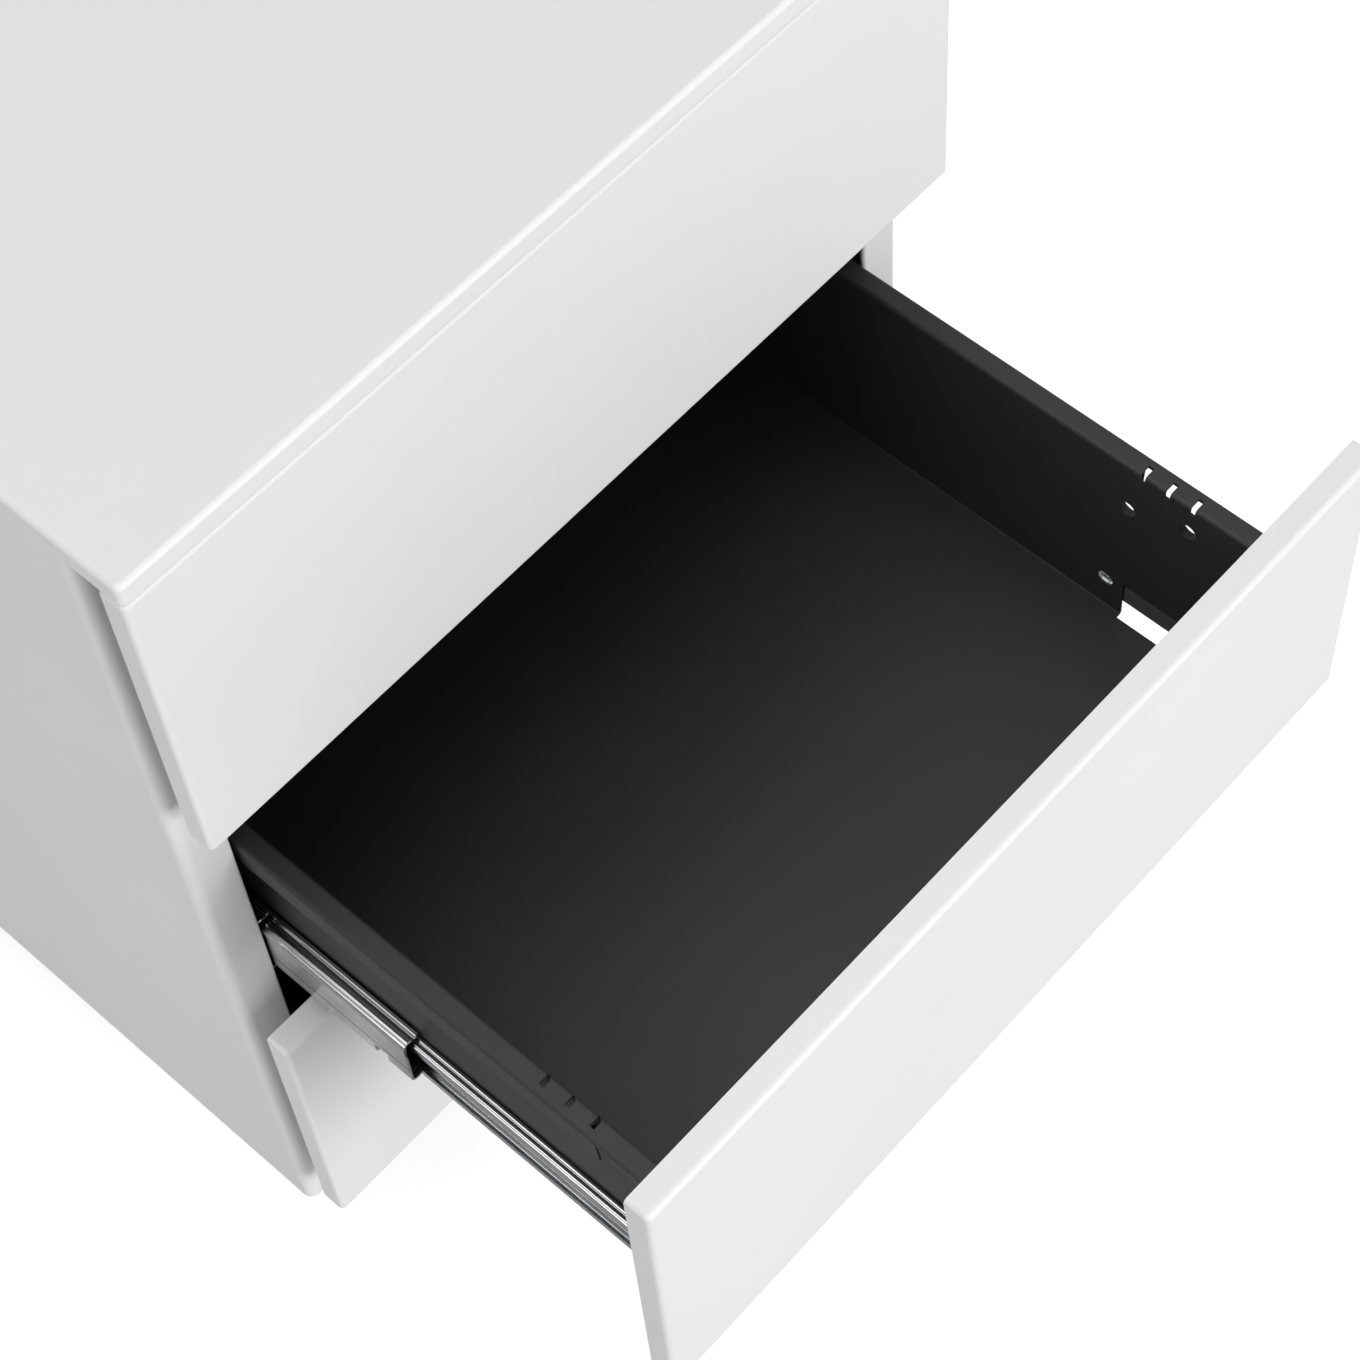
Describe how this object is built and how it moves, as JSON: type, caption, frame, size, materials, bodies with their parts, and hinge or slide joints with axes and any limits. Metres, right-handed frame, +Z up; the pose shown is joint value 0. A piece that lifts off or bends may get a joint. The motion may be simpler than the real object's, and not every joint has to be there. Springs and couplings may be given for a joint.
{
  "type": "mobile filing cabinet",
  "caption": "Steel pedestal cabinet on castors with equal drawers on telescopic slides; full-width fronts pulled by their side edges, middle drawer partly open.",
  "frame": {"origin": "on the floor, under the middle of the footprint with the middle drawer open as stored", "axes": "+X to the right of someone facing the fronts, +Y from the fronts to the back, +Z up"},
  "size_m": [0.39, 0.7014, 0.5692],
  "materials": {
    "white_powder_coat": "fine satin powder coat",
    "black_powder_coat": "satin powder coat",
    "zinc_plated_steel": "bright zinc plate with rolling lines",
    "black_plastic": "moulded acetal",
    "black_nylon": "moulded nylon",
    "black_rubber": "moulded"
  },
  "bodies": {
    "cabinet": {"top_panel": "white_powder_coat", "left_side_panel": "white_powder_coat", "right_side_panel": "white_powder_coat", "back_panel": "white_powder_coat", "base_panel": "white_powder_coat", "front_left_upright": "zinc_plated_steel", "front_right_upright": "zinc_plated_steel", "rear_left_upright": "zinc_plated_steel", "rear_right_upright": "zinc_plated_steel", "rail_rivets": "zinc_plated_steel", "rail_buffers": "black_rubber", "castor_stems": "zinc_plated_steel", "bottom_left_outer_rail": "zinc_plated_steel", "bottom_right_outer_rail": "zinc_plated_steel", "middle_left_outer_rail": "zinc_plated_steel", "middle_right_outer_rail": "zinc_plated_steel", "top_left_outer_rail": "zinc_plated_steel", "top_right_outer_rail": "zinc_plated_steel"},
    "bottom_drawer": {"bottom_drawer_front": "white_powder_coat", "bottom_drawer_box": "black_powder_coat", "bottom_drawer_back": "black_powder_coat", "bottom_left_inner_rail": "zinc_plated_steel", "bottom_right_inner_rail": "zinc_plated_steel"},
    "bottom_left_slide_middle": {"bottom_left_middle_rail": "zinc_plated_steel", "bottom_left_ball_cages": "black_plastic"},
    "bottom_right_slide_middle": {"bottom_right_middle_rail": "zinc_plated_steel", "bottom_right_ball_cages": "black_plastic"},
    "middle_drawer": {"middle_drawer_front": "white_powder_coat", "middle_drawer_box": "black_powder_coat", "middle_drawer_back": "black_powder_coat", "middle_left_inner_rail": "zinc_plated_steel", "middle_right_inner_rail": "zinc_plated_steel"},
    "middle_left_slide_middle": {"middle_left_middle_rail": "zinc_plated_steel", "middle_left_ball_cages": "black_plastic"},
    "middle_right_slide_middle": {"middle_right_middle_rail": "zinc_plated_steel", "middle_right_ball_cages": "black_plastic"},
    "top_drawer": {"top_drawer_front": "white_powder_coat", "top_drawer_box": "black_powder_coat", "top_drawer_back": "black_powder_coat", "top_left_inner_rail": "zinc_plated_steel", "top_right_inner_rail": "zinc_plated_steel"},
    "top_left_slide_middle": {"top_left_middle_rail": "zinc_plated_steel", "top_left_ball_cages": "black_plastic"},
    "top_right_slide_middle": {"top_right_middle_rail": "zinc_plated_steel", "top_right_ball_cages": "black_plastic"},
    "front_left_castor": {"front_left_castor_fork": "zinc_plated_steel", "front_left_castor_axle": "zinc_plated_steel"},
    "front_left_wheel": {"front_left_castor_wheel": "black_nylon"},
    "front_left_pedal": {"front_left_brake_pedal": "black_nylon"},
    "front_right_castor": {"front_right_castor_fork": "zinc_plated_steel", "front_right_castor_axle": "zinc_plated_steel"},
    "front_right_wheel": {"front_right_castor_wheel": "black_nylon"},
    "front_right_pedal": {"front_right_brake_pedal": "black_nylon"},
    "rear_left_castor": {"rear_left_castor_fork": "zinc_plated_steel", "rear_left_castor_axle": "zinc_plated_steel"},
    "rear_left_wheel": {"rear_left_castor_wheel": "black_nylon"},
    "rear_right_castor": {"rear_right_castor_fork": "zinc_plated_steel", "rear_right_castor_axle": "zinc_plated_steel"},
    "rear_right_wheel": {"rear_right_castor_wheel": "black_nylon"}
  },
  "joints": [
    {"name": "bottom_drawer_slide", "type": "slide", "parent": "cabinet", "child": "bottom_drawer", "axis": [0, -1, 0], "range_m": [0, 0.43]},
    {"name": "bottom_left_slide_extension", "type": "slide", "parent": "cabinet", "child": "bottom_left_slide_middle", "axis": [0, -1, 0], "range_m": [0, 0.215]},
    {"name": "bottom_right_slide_extension", "type": "slide", "parent": "cabinet", "child": "bottom_right_slide_middle", "axis": [0, -1, 0], "range_m": [0, 0.215]},
    {"name": "middle_drawer_slide", "type": "slide", "parent": "cabinet", "child": "middle_drawer", "axis": [0, -1, 0], "range_m": [-0.2014, 0.2286]},
    {"name": "middle_left_slide_extension", "type": "slide", "parent": "cabinet", "child": "middle_left_slide_middle", "axis": [0, -1, 0], "range_m": [-0.1007, 0.1143]},
    {"name": "middle_right_slide_extension", "type": "slide", "parent": "cabinet", "child": "middle_right_slide_middle", "axis": [0, -1, 0], "range_m": [-0.1007, 0.1143]},
    {"name": "top_drawer_slide", "type": "slide", "parent": "cabinet", "child": "top_drawer", "axis": [0, -1, 0], "range_m": [0, 0.43]},
    {"name": "top_left_slide_extension", "type": "slide", "parent": "cabinet", "child": "top_left_slide_middle", "axis": [0, -1, 0], "range_m": [0, 0.215]},
    {"name": "top_right_slide_extension", "type": "slide", "parent": "cabinet", "child": "top_right_slide_middle", "axis": [0, -1, 0], "range_m": [0, 0.215]},
    {"name": "front_left_castor_swivel", "type": "hinge", "parent": "cabinet", "child": "front_left_castor", "pos_m": [-0.15, -0.0613, 0.05], "axis": [0, 0, 1], "continuous": true},
    {"name": "front_left_wheel_spin", "type": "hinge", "parent": "front_left_castor", "child": "front_left_wheel", "pos_m": [-0.15, -0.0803, 0.021], "axis": [1, 0, 0], "continuous": true},
    {"name": "front_left_brake_release", "type": "hinge", "parent": "front_left_castor", "child": "front_left_pedal", "pos_m": [-0.15, -0.0823, 0.0452], "axis": [-1, 0, 0], "range_deg": [0, 15]},
    {"name": "front_right_castor_swivel", "type": "hinge", "parent": "cabinet", "child": "front_right_castor", "pos_m": [0.15, -0.0613, 0.05], "axis": [0, 0, 1], "continuous": true},
    {"name": "front_right_wheel_spin", "type": "hinge", "parent": "front_right_castor", "child": "front_right_wheel", "pos_m": [0.15, -0.0803, 0.021], "axis": [1, 0, 0], "continuous": true},
    {"name": "front_right_brake_release", "type": "hinge", "parent": "front_right_castor", "child": "front_right_pedal", "pos_m": [0.15, -0.0823, 0.0452], "axis": [-1, 0, 0], "range_deg": [0, 15]},
    {"name": "rear_left_castor_swivel", "type": "hinge", "parent": "cabinet", "child": "rear_left_castor", "pos_m": [-0.15, 0.2907, 0.05], "axis": [0, 0, 1], "continuous": true},
    {"name": "rear_left_wheel_spin", "type": "hinge", "parent": "rear_left_castor", "child": "rear_left_wheel", "pos_m": [-0.15, 0.2717, 0.021], "axis": [1, 0, 0], "continuous": true},
    {"name": "rear_right_castor_swivel", "type": "hinge", "parent": "cabinet", "child": "rear_right_castor", "pos_m": [0.15, 0.2907, 0.05], "axis": [0, 0, 1], "continuous": true},
    {"name": "rear_right_wheel_spin", "type": "hinge", "parent": "rear_right_castor", "child": "rear_right_wheel", "pos_m": [0.15, 0.2717, 0.021], "axis": [1, 0, 0], "continuous": true}
  ],
  "couplings": [
    {"joint": "bottom_left_slide_extension", "follows": "bottom_drawer_slide", "ratio": 0.5},
    {"joint": "bottom_right_slide_extension", "follows": "bottom_drawer_slide", "ratio": 0.5},
    {"joint": "middle_left_slide_extension", "follows": "middle_drawer_slide", "ratio": 0.5},
    {"joint": "middle_right_slide_extension", "follows": "middle_drawer_slide", "ratio": 0.5},
    {"joint": "top_left_slide_extension", "follows": "top_drawer_slide", "ratio": 0.5},
    {"joint": "top_right_slide_extension", "follows": "top_drawer_slide", "ratio": 0.5}
  ]
}
